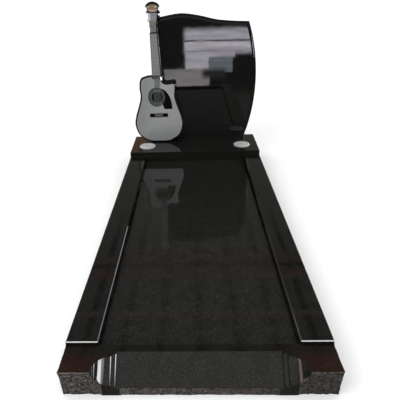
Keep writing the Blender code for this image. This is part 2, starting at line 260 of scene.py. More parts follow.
# The rusty beam hardly shows over the plot's middle
RUSTY_BEAM = (0.74, 0.830, 0.020)
RUST = (0.40, 0.15, 0.11)
CEILING_BEAMS = (
    (0.995, 1.020, 0.006, (0.22, 0.17, 0.14)),
    (1.200, 1.260, 0.010, (0.17, 0.11, 0.085)),
    (1.270, 1.295, 0.006, (0.05, 0.045, 0.04)),
    (1.300, 1.360, 0.010, (0.15, 0.10, 0.08)),
)

# Mirrored cards in degrees: azimuths from the plot's foot round to the right, elevations, softness, colour
CARDS = (
    ((-1.0, 10.0), (-8.0, -4.95), 0.40, (5.8, 5.6, 6.2)),
    ((-1.0, 2.3), (-10.0, -7.3), 0.10, (5.8, 5.6, 6.2)),
    ((2.0, 5.9), (-8.5, -7.3), 0.10, (5.8, 5.6, 6.2)),
    ((-1.0, 10.0), (-7.25, -6.60), 0.06, (7.1, 6.9, 7.5)),
    ((-1.0, 10.0), (-6.50, -6.30), 0.06, (1.2, 1.1, 1.3)),
    ((-1.0, 7.0), (-7.75, -7.62), 0.06, (3.0, 2.8, 3.2)),
    ((-4.0, 2.4), (-12.2, -9.9), 0.12, (2.95, 2.75, 2.8)),
    ((2.3, 5.6), (-10.4, -8.5), 0.10, (1.9, 2.2, 2.4)),
    ((1.4, 4.6), (-11.2, -10.0), 0.50, (0.25, 0.25, 0.25)),
    ((76.8, 80.5), (2.5, 6.5), 0.6, (15.0, 15.5, 16.0)),
    ((-16.0, 16.0), (9.0, 19.0), 2.0, (0.60, 0.60, 0.58)),
    ((-178.0, -170.0), (16.0, 21.0), 1.0, (0.30, 0.16, 0.09)),
    ((-53.0, -38.0), (20.0, 40.0), 2.0, (2.4, 1.9, 1.8)),
    ((118.0, 164.0), (2.0, 24.0), 2.0, (2.2, 2.5, 2.9)),
    ((-140.0, -128.0), (10.0, 16.0), 1.0, (5.0, 5.0, 5.0)),
    ((-180.0, -110.0), (-10.0, 16.0), 4.0, (0.45, 0.43, 0.38)),
    ((150.0, 181.0), (0.0, 13.0), 1.0, (2.5, 2.5, 2.5)),
    ((-181.0, -150.0), (0.0, 13.0), 1.0, (2.5, 2.5, 2.5)),
    ((-30.0, 30.0), (30.0, 48.0), 3.0, (0.42, 0.42, 0.40)),
)

# How finely the cards are streaked along X, Y and Z
CARD_STREAKS = (16.0, 16.0, 120.0)

# Two cards for the left cove, which sink as the azimuth grows: elevations at azimuth 0, fall per degree
COVE_CARD_LEVELS = (49.5, 56.0)
COVE_CARD_FALL = 0.55
COVE_CARDS = (
    ((21.0, 38.0), (4.0, 4.1, 4.4)),
    ((37.0, 56.0), (17.0, 17.0, 17.5)),
)

# The studio: how far the floor and the tent reach, and how brightly the tent glows
FLOOR_RADIUS = 30.0
TENT_RADIUS = 29.5
TENT_GLOW = 1.12

# The camera, worked out from corners in the photo. Its turns are in degrees, its shift in image widths.
CAMERA_PLACE = (-0.0063, -1.8708, 1.1678)
CAMERA_PITCH = 30.10
CAMERA_YAW = 2.151
CAMERA_ROLL = -1.970
CAMERA_LENS = 34.98
CAMERA_SHIFT = (0.0449, 0.0300)

# Black left polished among etched stone
POLISHED_BLACK = (0.001, 0.001, 0.001)

# Faces over this area, in square metres, are shaded exactly flat
FLAT_AREA = 0.002

# Turns an outline in X and Y upright
UPRIGHT = Matrix.Rotation(math.pi / 2, 4, "X")


# Numbers that vary over a surface


class Field:
    """A number that varies over a surface. Arithmetic on it adds Math nodes to its tree."""

    def __init__(self, tree, socket):
        self.tree = tree
        self.socket = socket

    def math(self, operation, *others):
        node = self.tree.nodes.new("ShaderNodeMath")
        node.operation = operation
        for slot, value in zip(node.inputs, (self, *others)):
            put(self.tree, slot, value)
        return Field(self.tree, node.outputs[0])

    def __add__(self, other):
        return self.math("ADD", other)

    def __sub__(self, other):
        return self.math("SUBTRACT", other)

    def __mul__(self, other):
        return self.math("MULTIPLY", other)

    def __truediv__(self, other):
        return self.math("DIVIDE", other)

    def __abs__(self):
        return self.math("ABSOLUTE")

    def most(self, other):
        return self.math("MAXIMUM", other)

    def ramp(self, low, high, start=0.0, end=1.0):
        """Goes smoothly from start to end as the number goes from low to high."""
        node = self.tree.nodes.new("ShaderNodeMapRange")
        node.interpolation_type = "SMOOTHSTEP"
        for slot, value in zip(node.inputs, (self, low, high, start, end)):
            put(self.tree, slot, value)
        return Field(self.tree, node.outputs[0])

    def under(self, limit, soft=0.0003):
        """1 where the number is under the limit and 0 where it is over."""
        return self.ramp(limit - soft, limit + soft, 1.0, 0.0)

    def over(self, limit, soft=0.0003):
        return self.ramp(limit - soft, limit + soft)

    def between(self, low, high, soft=0.0003):
        return self.over(low, soft) * self.under(high, soft)

    def opposite(self):
        """1 minus the number."""
        return self * -1.0 + 1.0

    def mix(self, first, second):
        """Goes from the first colour, where the number is 0, to the second, where it is 1."""
        node = self.tree.nodes.new("ShaderNodeMix")
        node.data_type = "RGBA"
        first_slot, second_slot = [slot for slot in node.inputs if slot.type == "RGBA"]
        put(self.tree, node.inputs["Factor"], self)
        put(self.tree, first_slot, first)
        put(self.tree, second_slot, second)
        return [slot for slot in node.outputs if slot.type == "RGBA"][0]


def put(tree, slot, value):
    """Links a field or a socket to a node's input, or sets a plain value on it."""
    if isinstance(value, Field):
        value = value.socket
    if isinstance(value, bpy.types.NodeSocket):
        tree.links.new(value, slot)
    elif slot.type == "RGBA":
        slot.default_value = (*value, 1.0)
    else:
        slot.default_value = value


def fill(tree, node, **values):
    """Puts values on a node's inputs, by their names with _ for a space."""
    for name, value in values.items():
        put(tree, node.inputs[name.replace("_", " ")], value)


def filled_node(tree, kind, **values):
    node = tree.nodes.new("ShaderNode" + kind)
    fill(tree, node, **values)
    return node


def parts(tree, vector):
    node = filled_node(tree, "SeparateXYZ", Vector=vector)
    return [Field(tree, socket) for socket in node.outputs]


def noise_over(tree, place, size, detail, stretch):
    """Soft noise round 0.5, with blotches about a size across. A larger stretch makes them narrower."""
    stretched = filled_node(tree, "Mapping", Vector=place, Scale=stretch).outputs[0]
    node = filled_node(tree, "TexNoise", Vector=stretched, Scale=1.0 / size, Detail=detail)
    return Field(tree, node.outputs["Fac"])


class Finish:
    """A material in the making: its tree, its shader, and the places and directions on its surface."""

    def __init__(self, name):
        self.material = bpy.data.materials.new(name)
        self.material.use_nodes = True
        self.tree = self.material.node_tree
        self.shader = self.tree.nodes["Principled BSDF"]
        self.place = self.tree.nodes.new("ShaderNodeTexCoord").outputs["Object"]
        self.x, self.y, self.z = parts(self.tree, self.place)
        facing = self.tree.nodes.new("ShaderNodeNewGeometry").outputs["True Normal"]
        _, self.facing_y, self.facing_z = parts(self.tree, facing)

    def noise(self, size, detail, stretch=(1.0, 1.0, 1.0)):
        return noise_over(self.tree, self.place, size, detail, stretch)

    def grains(self, size):
        """Random numbers from 0 to 1, one for each grain about size metres across."""
        node = filled_node(self.tree, "TexVoronoi", Vector=self.place, Scale=1.0 / size)
        return parts(self.tree, node.outputs["Color"])[0]

    def shine(self, **values):
        fill(self.tree, self.shader, **values)

    def bump(self, height, distance, strength):
        """Adds relief in the shading. The height is a field, the distance its depth in metres."""
        node = filled_node(self.tree, "Bump", Strength=strength, Distance=distance, Height=height)
        self.shine(Normal=node.outputs["Normal"])


def scaled(values, factor):
    return tuple(value * factor for value in values)


def granite_colour(finish, tone):
    """Near-black stone with dark grey grains, sparse flecks and a faint cloudiness."""
    grains = finish.grains(0.0014)
    clouds = finish.noise(0.045, 4.0).ramp(0.40, 0.66)
    dark = scaled((0.0018, 0.0018, 0.0016), tone)
    light = scaled((0.0032, 0.0031, 0.0028), tone)
    ground = clouds.mix(dark, light)
    grey = grains.over(0.80, 0.01).mix(ground, scaled((0.0066, 0.0065, 0.0061), tone))
    return grains.over(0.975, 0.004).mix(grey, scaled((0.020, 0.020, 0.019), tone))


def polish_smears(finish):
    """Where the polish is faintly smeared."""
    return finish.noise(0.12, 5.0, (1.0, 0.35, 1.0)).ramp(0.45, 0.75)


def polished_granite(name, tone=1.0, dullness=0.0):
    """Mirror-polished black granite, with faint smears and the last waviness of the polishing.

    A higher tone makes it paler, more dullness less sharp a mirror.
    """
    finish = Finish(name)
    fine = finish.noise(0.004, 3.0)
    finish.shine(
        Base_Color=granite_colour(finish, tone),
        Roughness=polish_smears(finish) * 0.03 + fine * 0.012 + (0.010 + dullness),
        IOR=1.55,
    )
    finish.bump(finish.noise(0.10, 1.0) + fine * 0.004, 0.0002, 0.3)
    return finish


def kerb_granite(name):
    """Polished black granite whose end arrises are left sawn and pale: partly the sawn stone's grey, partly
    a painted highlight where they catch the light.
    """
    finish = Finish(name)
    ends = abs(finish.facing_y).over(0.5, 0.05) * finish.facing_z.over(0.5, 0.05)
    saw_marks = finish.noise(0.006, 3.0, (0.15, 1.0, 1.0))
    # The end arrises' pale is partly sawn stone and partly a painted highlight of the light that the arris
    # catches
    pale = saw_marks.mix((0.46, 0.47, 0.47), (0.70, 0.71, 0.71))
    sawn_and_highlit = finish.grains(0.0016).over(0.72, 0.02).mix(pale, (0.34, 0.34, 0.34))
    finish.shine(
        Base_Color=ends.mix(granite_colour(finish, 1.8), sawn_and_highlit),
        Roughness=ends * 0.55 + polish_smears(finish) * 0.04 + 0.02,
        IOR=1.55,
    )
    finish.bump(finish.noise(0.10, 1.0) + saw_marks * ends * 0.5, 0.0002, 0.3)
    return finish


def rock_granite(name):
    """The pitched faces: broken stone, dull, brown and green-grey, bruised pale along its top."""
    finish = Finish(name)
    grains = finish.grains(0.0048)
    fine = finish.grains(0.0017)
    patches = finish.noise(0.028, 4.0).ramp(0.40, 0.60)
    dark = patches.mix((0.006, 0.007, 0.005), (0.030, 0.019, 0.019))
    brown = grains.over(0.62, 0.08).mix(dark, (0.078, 0.055, 0.055))
    black = grains.under(0.28, 0.05).mix(brown, (0.002, 0.002, 0.002))
    pale = fine.over(0.88, 0.03).mix(black, (0.30, 0.29, 0.27))
    edge = finish.z.over(FRONT_KERB_HEIGHT - 0.0030, 0.0008) * finish.noise(0.012, 3.0).ramp(0.36, 0.50)
    broken = (edge * 0.8).mix(pale, (0.30, 0.29, 0.26))
    broken = finish.x.ramp(-0.05, 0.35, 0.0, 0.42).mix(broken, (0.010, 0.009, 0.008))
    smooth = rubbed_share(finish)
    finish.shine(
        Base_Color=smooth.mix(broken, granite_colour(finish, 2.0)),
        Roughness=fine.ramp(0.0, 1.0, 0.40, 0.80) * smooth.ramp(0.0, 1.0, 1.0, 0.3),
        IOR=1.5,
    )
    finish.bump((finish.noise(0.0030, 5.0) + grains * 0.4) * smooth.opposite(), 0.0040, 0.9)
    return finish


def rubbed_share(finish):
    """1 on the smooth margins of the front, between the pitched strip and the end blocks."""
    return abs(finish.x).between(*RUBBED_MARGIN, 0.002) * finish.y.under(FRONT + RUBBED_DEPTH)


def spun_metal(name):
    """Satin aluminium with fine marks round its centre."""
    finish = Finish(name)
    across = abs(finish.x) - HOLE_X
    along = finish.y - HOLE_Y
    radius = (across * across + along * along).math("SQRT")
    rings = (radius * SPUN_MARKS).math("SINE")
    dull = finish.noise(0.012, 4.0).ramp(0.35, 0.70)
    colour = dull.mix((0.80, 0.80, 0.80), (0.60, 0.60, 0.61))
    finish.shine(Base_Color=colour, Metallic=0.45, Roughness=dull * 0.14 + 0.32)
    finish.bump(rings * 0.2 + finish.noise(0.003, 3.0) * 0.6, 0.0002, 0.5)
    return finish


# The guitar's etched faces


def in_ellipse(finish, height, centre, radii, soft=0.012):
    """1 inside an upright ellipse on the headstone's face."""
    across = (finish.x - centre[0]) / radii[0]
    up = (height - centre[1]) / radii[1]
    return (across * across + up * up).under(1.0, soft)


def in_box(finish, height, centre, half_size):
    """1 inside an upright box on the headstone's face."""
    across = abs(finish.x - centre[0]).under(half_size[0])
    return across * abs(height - centre[1]).under(half_size[1])


def string_lines(finish, height, foot):
    """Six thin lines from the nut to a height, spreading a little on the way down."""
    share = height.ramp(foot, NUT_HEIGHT)
    spread = share.ramp(0.0, 1.0, *STRING_SPREADS)
    middle = share.ramp(0.0, 1.0, *STRING_MIDDLES)
    last = STRING_COUNT - 1.0
    across = (finish.x - middle) / spread * last + last / 2
    nearest = across.math("ROUND").most(0.0).math("MINIMUM", last)
    distance = abs(across - nearest) * spread / last
    return distance.under(LINE_HALF_WIDTH, 0.0002) * height.between(foot, NUT_HEIGHT)


def fret_lines(height):
    """Lines across the fretboard, each a semitone from the last."""
    left = ((height - NUT_HEIGHT) / SCALE_LENGTH + 1.0).most(0.2)
    number = left.math("LOGARITHM", 2.0) * -12.0
    distance = abs(number - number.math("ROUND")) * left * (SCALE_LENGTH * math.log(2.0) / 12.0)
    return distance.under(LINE_HALF_WIDTH)


def pickguard(finish, height):
    """The teardrop plate beside the sound hole, cut straight at its foot and its left."""
    outer = in_ellipse(finish, height, PICKGUARD_CENTRE, PICKGUARD_RADII, 0.02)
    from_edge = finish.x - (height - PICKGUARD_LEFT[1]) * PICKGUARD_SLANT - PICKGUARD_LEFT[0]
    return outer * height.over(PICKGUARD_FOOT) * from_edge.over(0.0)


def etched_ground(finish, height):
    """The pale grey of the etched stone, with painted shade making it a little darker at its left and its
    foot.
    """
    clouds = finish.noise(0.060, 3.0).ramp(0.30, 0.75)
    ground = clouds.mix((0.268, 0.276, 0.270), (0.305, 0.310, 0.300))
    # Painted shade: the face's left side and its foot are darkened where less light falls on them
    left = (finish.x - height * 0.25).ramp(-0.46, -0.30, 1.0, 0.0)
    foot = height.ramp(0.02, 0.15, 1.0, 0.0)
    ground = left.most(foot).mix(ground, (0.198, 0.210, 0.214))
    return finish.grains(0.0011).over(0.80, 0.02).mix(ground, (0.180, 0.187, 0.187))


def with_neck(finish, height, colour):
    """Adds the fretboard's end on the body, the dark band at the joint, and the neck."""
    frets = fret_lines(height)
    over_body = height.between(FRETBOARD_FOOT, JOINT_BAND[0])
    board = abs(finish.x - FRETBOARD_X).under(FRETBOARD_HALF_WIDTH) * over_body
    board_tone = frets.mix((0.116, 0.114, 0.116), (0.048, 0.048, 0.048))
    colour = board.mix(colour, board_tone)
    joint = abs(finish.x - JOINT_X).under(JOINT_HALF_WIDTH) * height.between(*JOINT_BAND)
    colour = joint.mix(colour, (0.014, 0.014, 0.014))
    neck_tone = frets.mix((0.156, 0.155, 0.157), (0.070, 0.069, 0.069))
    return height.over(BODY_TOP).mix(colour, neck_tone)


def with_rosette(finish, height, colour, ring, hole):
    """Adds the ring, the sound hole, and the strings' column and bars across it."""
    inner_ring = in_ellipse(finish, height, ROSETTE_CENTRE, scaled(ROSETTE_RADII, ROSETTE_INSIDE))
    colour = ring.mix(colour, (0.022, 0.024, 0.023))
    colour = inner_ring.mix(colour, (0.048, 0.052, 0.050))
    colour = hole.mix(colour, POLISHED_BLACK)
    column = hole * abs(finish.x - SOUNDHOLE_CENTRE[0]).under(STRINGS_HALF_WIDTH)
    colour = column.mix(colour, (0.026, 0.027, 0.026))
    for level in BAR_HEIGHTS:
        bar = in_box(finish, height, (SOUNDHOLE_CENTRE[0], level), BAR_HALF_SIZE)
        colour = bar.mix(colour, (0.120, 0.120, 0.118))
    return colour


def with_bridge(finish, height, colour, bridge):
    """Adds the bridge, with the saddle's paler oval on it."""
    colour = bridge.mix(colour, POLISHED_BLACK)
    saddle_rim = in_ellipse(finish, height, BRIDGE_CENTRE, SADDLE_RADII, 0.03)
    saddle = in_ellipse(finish, height, BRIDGE_CENTRE, scaled(SADDLE_RADII, SADDLE_INSIDE), 0.05)
    colour = saddle_rim.mix(colour, (0.030, 0.032, 0.032))
    return saddle.mix(colour, (0.066, 0.070, 0.069))


def etched_face(name):
    """The guitar's front: a pale etched ground, and its fittings left dark."""
    finish = Finish(name)
    height = finish.z - STONE_FOOT
    ring = in_ellipse(finish, height, ROSETTE_CENTRE, ROSETTE_RADII)
    hole = in_ellipse(finish, height, SOUNDHOLE_CENTRE, SOUNDHOLE_RADII)
    guard = pickguard(finish, height) * ring.opposite()
    bridge = in_box(finish, height, BRIDGE_CENTRE, BRIDGE_HALF_SIZE)

    colour = with_neck(finish, height, etched_ground(finish, height))
    colour = with_rosette(finish, height, colour, ring, hole)
    colour = guard.mix(colour, POLISHED_BLACK)
    colour = with_bridge(finish, height, colour, bridge)
    strings = string_lines(finish, height, BRIDGE_CENTRE[1]) * ring.ramp(0.0, 1.0, 0.7, 0.3)
    colour = strings.mix(colour, (0.230, 0.232, 0.230))

    dark = guard.most(bridge).most(hole)
    finish.shine(Base_Color=colour, Roughness=dark * -0.48 + 0.52, IOR=1.5)
    finish.bump(finish.noise(0.0016, 3.0) * dark.opposite(), 0.0003, 0.5)
    return finish


def crown_colour(finish, height, grain):
    """A dark crown with a tan oval, warmer at its foot and tinted partly as painted reflection, and two
    pale spots that are painted highlights.
    """
    tan = grain.mix((0.130, 0.085, 0.050), (0.230, 0.160, 0.105))
    warm = height.ramp(*WARM_TO_TAN, 1.0, 0.0).mix(tan, (0.340, 0.230, 0.185))
    oval = in_ellipse(finish, height, OVAL_CENTRE, OVAL_RADII, 0.20) * height.over(OVAL_FOOT)
    colour = oval.mix((0.010, 0.008, 0.006), warm)
    # Painted highlights: two pale spots on the crown
    for centre in HIGHLIGHT_SPOT_CENTRES:
        spot = in_ellipse(finish, height, centre, HIGHLIGHT_SPOT_RADII, 0.30)
        colour = spot.mix(colour, (0.420, 0.380, 0.310))
    return colour


def etched_headstock(name):
    """The headstock's front: the crown, a cool field under it, a dull part and a dark foot, tinted partly
    as painted reflection, and a painted highlight along its left edge.
    """
    finish = Finish(name)
    height = finish.z - STONE_FOOT
    grain = finish.noise(0.010, 4.0, (1.0, 1.0, 0.25))
    # The cool and dull tints are partly painted reflection of what the polished headstock mirrors
    cool = grain.mix((0.130, 0.145, 0.165), (0.210, 0.228, 0.250))
    dull = grain.mix((0.100, 0.094, 0.086), (0.170, 0.158, 0.145))
    # Painted highlight: a pale band along the face's left edge
    colour = finish.x.under(LEFT_HIGHLIGHT_X, 0.004).mix(cool, (0.400, 0.410, 0.420))
    colour = height.ramp(*DULL_TO_COOL, 1.0, 0.0).mix(colour, dull)
    crown = crown_colour(finish, height, grain)
    colour = height.over(CROWN_GROOVE_HEIGHT).mix(colour, crown)
    colour = height.under(HEADSTOCK_FOOT_BAND).mix(colour, (0.034, 0.028, 0.022))
    strings = string_lines(finish, height - UPPER_STRINGS_RISE, UPPER_STRINGS_FOOT)
    colour = (strings * 0.5).mix(colour, (0.060, 0.060, 0.060))
    finish.shine(Base_Color=colour, Roughness=grain * 0.2 + 0.35, IOR=1.5)
    finish.bump(finish.noise(0.0016, 3.0), 0.0003, 0.4)
    return finish


# Shapes


def object_from(name, shape, place=None):
    """Puts a bmesh in the scene as one object, and frees it."""
    mesh = bpy.data.meshes.new(name)
    shape.to_mesh(mesh)
    shape.free()
    obj = bpy.data.objects.new(name, mesh)
    obj.matrix_world = place or Matrix.Identity(4)
    bpy.context.scene.collection.objects.link(obj)
    return obj


def give_materials(obj, finishes):
    for finish in finishes:
        obj.data.materials.append(finish.material)


def combine(obj, other, operation):
    modifier = obj.modifiers.new(operation.lower(), "BOOLEAN")
    modifier.object = other
    modifier.operation = operation
    modifier.solver = "EXACT"


def settled(obj, helpers):
    """Turns an object and its modifiers into one plain mesh, and removes its helpers."""
    graph = bpy.context.evaluated_depsgraph_get()
    mesh = bpy.data.meshes.new_from_object(obj.evaluated_get(graph))
    mesh.transform(obj.matrix_world)
    obj.modifiers.clear()
    obj.data = mesh
    obj.matrix_world = Matrix.Identity(4)
    for helper in helpers:
        bpy.data.objects.remove(helper)


def smoothed(obj, angle, creased=None):
    """Shades curves smooth. Wide flat faces stay exactly flat, and the curves run out into them.

    creased(a, b) may pick more edges to keep sharp, by their two ends.
    """
    mesh = obj.data
    mesh.shade_smooth()
    mesh.set_sharp_from_angle(angle=math.radians(angle))
    for edge in mesh.edges:
        a, b = [mesh.vertices[number].co for number in edge.vertices]
        if creased and creased(a, b):
            edge.use_edge_sharp = True
    flat_faces = [face for face in mesh.polygons if face.area > FLAT_AREA]
    flat_edges = {edge for face in flat_faces for edge in face.edge_keys}
    flat_normals = {}
    for face in flat_faces:
        for vertex in face.vertices:
            flat_normals.setdefault(vertex, []).append(face.normal.copy())
    normals = [corner.vector.copy() for corner in mesh.corner_normals]
    for face in mesh.polygons:
        for corner in face.loop_indices:
            for normal in flat_normals.get(mesh.loops[corner].vertex_index, []):
                if face.normal.dot(normal) > math.cos(math.radians(angle)):
                    normals[corner] = normal
    for edge in mesh.edges:
        if edge.key in flat_edges:
            edge.use_edge_sharp = True
    mesh.normals_split_custom_set(normals)


def smooth_run(knots, steps=8):
    """Points of a Catmull-Rom curve through the knots, both ends included."""
    knots = [Vector(knot) for knot in knots]
    knots = [2 * knots[0] - knots[1], *knots, 2 * knots[-1] - knots[-2]]
    run = []
    for a, b, c, d in zip(knots, knots[1:], knots[2:], knots[3:]):
        for step in range(steps):
            t = step / steps
            bend = (2 * a - 5 * b + 4 * c - d) * t * t + (3 * b - a - 3 * c + d) * t**3
            run.append(b + ((c - a) * t + bend) / 2)
    return run + [knots[-2]]


def box_bmesh(low, high):
    shape = bmesh.new()
    bmesh.ops.create_cube(shape, size=1.0)
    bmesh.ops.scale(shape, vec=high - low, verts=shape.verts)
    bmesh.ops.translate(shape, vec=(low + high) / 2, verts=shape.verts)
    return shape


def bevel_edges(shape, wanted, width, segments=1):
    """Bevels the edges that a test picks by their two ends."""
    edges = [edge for edge in shape.edges if wanted(edge.verts[0].co, edge.verts[1].co)]
    bmesh.ops.bevel(shape, geom=edges, offset=width, segments=segments, profile=0.5, affect="EDGES")


def soften(obj, width, angle):
    """Rounds an object's edges that turn by more than an angle in degrees."""
    bevel = obj.modifiers.new("soft_edges", "BEVEL")
    bevel.width = width
    bevel.segments = 2
    bevel.limit_method = "ANGLE"
    bevel.angle_limit = math.radians(angle)


def prism(outline, thickness):
    """A closed outline in X and Y with thickness, centred on Z = 0, as one face on each side."""
    shape = bmesh.new()
    rings = []
    for z in (-thickness / 2, thickness / 2):
        rings.append([shape.verts.new((x, y, z)) for x, y in outline])
    low, high = rings
    shape.faces.new(low[::-1])
    shape.faces.new(high)
    for a, b, c, d in zip(low, low[1:] + low[:1], high[1:] + high[:1], high):
        shape.faces.new((a, b, c, d))
    bmesh.ops.recalc_face_normals(shape, faces=shape.faces)
    return shape


def upright_plate(name, outline, front, back, edge, face_slot=0, rim=0.0):
    """A plate standing on the base, its outline in X and height.

    Its front face takes a slot, all but a rim of a given width along its edge.
    """
    shape = prism(outline, back - front)
    edge(shape)
    front_z = (back - front) / 2 - NEAR
    flat_front = [face for face in shape.faces if min(vert.co.z for vert in face.verts) > front_z]
    if rim:
        bmesh.ops.inset_region(shape, faces=flat_front, thickness=rim)
    for face in flat_front:
        face.material_index = face_slot
    place = Matrix.Translation((0.0, (front + back) / 2, STONE_FOOT)) @ UPRIGHT
    return object_from(name, shape, place)


def on_front(a, b, thickness):
    """Whether an edge lies in a plate's front plane."""
    return min(a.z, b.z) > thickness / 2 - NEAR


def turned(name, profile, steps):
    """A profile of radius and height turned about the vertical, from the axis round to the axis."""
    shape = bmesh.new()
    points = [shape.verts.new((radius, 0.0, height)) for radius, height in profile]
    for a, b in zip(points, points[1:]):
        shape.edges.new((a, b))
    obj = object_from(name, shape)
    screw = obj.modifiers.new("turning", "SCREW")
    screw.steps = screw.render_steps = steps
    screw.use_merge_vertices = True
    screw.merge_threshold = NEAR
    return obj


# The headstone


def mirrored(run, centre, side):
    """Half widths and heights as points left (-1) or right (+1) of a centre line."""
    return [(centre + side * x, y) for x, y in run]


def slab_outline():
    """The slab's outline: a wave along the top, a long arc down its right side, flat below."""
    top = smooth_run(SLAB_TOP_KNOTS, 3)[:-3] + [SLAB_TOP_KNOTS[-1]]
    centre_x = SLAB_WIDEST_X - SLAB_SIDE_RADIUS
    reach = math.asin((SLAB_TOP_KNOTS[-1][1] - SLAB_WIDEST_HEIGHT) / SLAB_SIDE_RADIUS)
    steps = 24
    side = []
    for step in range(1, steps + 1):
        angle = reach + (-math.asin(SLAB_WIDEST_HEIGHT / SLAB_SIDE_RADIUS) - reach) * step / steps
        x = centre_x + SLAB_SIDE_RADIUS * math.cos(angle)
        side.append((x, SLAB_WIDEST_HEIGHT + SLAB_SIDE_RADIUS * math.sin(angle)))
    return top + side + [(SLAB_LEFT_X, 0.0)]


def body_outline():
    """The guitar's body, closed by a straight line across the neck's foot."""
    lower = smooth_run(BODY_SIDE_KNOTS)
    left = mirrored(lower + smooth_run(SHOULDER_KNOTS)[1:], GUITAR_CENTRE, -1)
    right = mirrored(lower + smooth_run(HORN_KNOTS)[1:] + [HORN_END], GUITAR_CENTRE, 1)
    return left + right[::-1]


def headstock_outline():
    side = smooth_run(HEADSTOCK_KNOTS) + smooth_run(CROWN_KNOTS)
    left = mirrored(side, HEADSTOCK_CENTRE, -1)
    right = mirrored(side[:-1], HEADSTOCK_CENTRE, 1)
    return left + right[::-1]


def headstock_face(height):
    """How far back the headstock's face lies at a height over the base."""
    return GUITAR_FRONT + HEADSTOCK_SETBACK + height * math.tan(GUITAR_LEAN)


def add_slab():
    def round_edge(shape):
        def wanted(a, b):
            hidden = max(a.x, b.x) < SLAB_LEFT_X + NEAR or max(a.y, b.y) < NEAR
            return on_front(a, b, SLAB_THICKNESS) and not hidden

        bevel_edges(shape, wanted, SLAB_EDGE_ROUNDING, segments=10)

    return upright_plate("headstone_stone", slab_outline(), SLAB_FRONT, BACK, round_edge)


def on_corner_mitre(a, b):
    """Whether an edge lies where the slab's top and side roundings meet."""
    corner = Vector((SLAB_TOP_KNOTS[-1][0], STONE_FOOT + SLAB_TOP_KNOTS[-1][1]))
    inward = Vector(MITRE_DIRECTION)
    offsets = [Vector((spot.x, spot.z)) - corner for spot in (a, b)]
    on_line = all(abs(offset.cross(inward)) < MITRE_HALF_WIDTH for offset in offsets)
    return on_line and all(offset.length < MITRE_LENGTH for offset in offsets)


def every_edge(a, b):
    return True


def leaning_plate(name, outline, setback, width, face_slot, wanted=every_edge, rim=0.0):
    """A plate with a chamfered front that leans back from its foot, and an upright back.

    The setback takes it behind the body's face, and half as much in from the body's back.
    """
    front = GUITAR_FRONT + setback
    back = GUITAR_BACK - setback / 2
    thickness = back - front

    def chamfer(shape):
        bevel_edges(shape, lambda a, b: on_front(a, b, thickness) and wanted(a, b), width)

    obj = upright_plate(name, outline, front, back, chamfer, face_slot, rim)
    for vertex in obj.data.vertices:
        if vertex.co.z > -thickness / 2 + NEAR:
            vertex.co.z -= vertex.co.y * math.tan(GUITAR_LEAN)
    return obj


def add_body():
    return leaning_plate("body", body_outline(), 0.0, BODY_CHAMFER, GUITAR_SLOT, rim=BODY_RIM)


def add_neck():
    """The neck, chamfered on its right side only."""
    outline = [(GUITAR_CENTRE + x, height) for x, height in NECK_CORNERS]

    def on_right(a, b):
        return min(a.x, b.x) > GUITAR_CENTRE

    return leaning_plate("neck", outline, NECK_SETBACK, NECK_CHAMFER, GUITAR_SLOT, on_right)


def add_headstock():
    """The headstock's plate, its left chamfer etched like its face below the crown, so that the painted
    highlight along the face's left edge runs over it.
    """
    outline = headstock_outline()
    obj = leaning_plate("headstock", outline, HEADSTOCK_SETBACK, HEADSTOCK_CHAMFER, HEADSTOCK_SLOT)
    for face in obj.data.polygons:
        chamfered = 0.3 < face.normal.z < 0.9 and face.normal.x < -0.4
        if chamfered and face.center.y < CROWN_GROOVE_HEIGHT:
            face.material_index = HEADSTOCK_SLOT
    return obj


def add_knobs():
    """The tuning knobs, smooth lobes on the headstock's sides. Those on the left take the etched finish as
    a painted highlight, for the light they catch.
    """
    shape = bmesh.new()
    for across, height, radius in KNOBS:
        made = bmesh.ops.create_uvsphere(shape, u_segments=24, v_segments=16, radius=radius)
        bmesh.ops.scale(shape, vec=(KNOB_STRETCH, KNOB_DEPTH / radius, 1.0), verts=made["verts"])
        y = headstock_face(height) + KNOB_SETBACK
        place = (HEADSTOCK_CENTRE + across, y, STONE_FOOT + height)
        bmesh.ops.translate(shape, vec=place, verts=made["verts"])
    # Painted highlight: the left knobs take the pale etched finish for the light they catch from the left
    for face in shape.faces:
        if face.verts[0].co.x < HEADSTOCK_CENTRE:
            face.material_index = HEADSTOCK_SLOT
    return object_from("knobs", shape)


def add_nut():
    """The small bar across the neck's top."""
    place = Vector((GUITAR_CENTRE, headstock_face(NUT_HEIGHT), STONE_FOOT + NUT_HEIGHT))
    low, high = [place + Vector(corner) for corner in NUT_CORNERS]
    shape = box_bmesh(low, high)
    bevel_edges(shape, every_edge, NUT_ROUNDING, segments=2)
    for face in shape.faces:
        face.material_index = HEADSTOCK_SLOT
    return object_from("nut", shape)


def add_crown_groove():
    """A V groove across the headstock, under its crown."""
    corner = Vector((GROOVE_HALF_LENGTH, GROOVE_SIZE / 2, GROOVE_SIZE / 2))
    y = headstock_face(CROWN_GROOVE_HEIGHT)
    place = Matrix.Translation((HEADSTOCK_CENTRE, y, STONE_FOOT + CROWN_GROOVE_HEIGHT))
    return object_from("groove", box_bmesh(-corner, corner), place @ Matrix.Rotation(math.pi / 4, 4, "X"))


def add_headstone():
    finishes = (
        polished_granite("headstone_polished"),
        etched_face("guitar_etched"),
        etched_headstock("headstock_etched"),
    )
    stone = add_slab()
    helpers = [add_body(), add_neck(), add_headstock(), add_knobs(), add_nut(), add_crown_groove()]
    for part in (stone, *helpers):
        give_materials(part, finishes)
    for helper in helpers[:-1]:
        combine(stone, helper, "UNION")
    combine(stone, helpers[-1], "DIFFERENCE")
    settled(stone, helpers)
    smoothed(stone, angle=28, creased=on_corner_mitre)
    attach(stone, "root")
    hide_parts("headstone")


# The front kerb


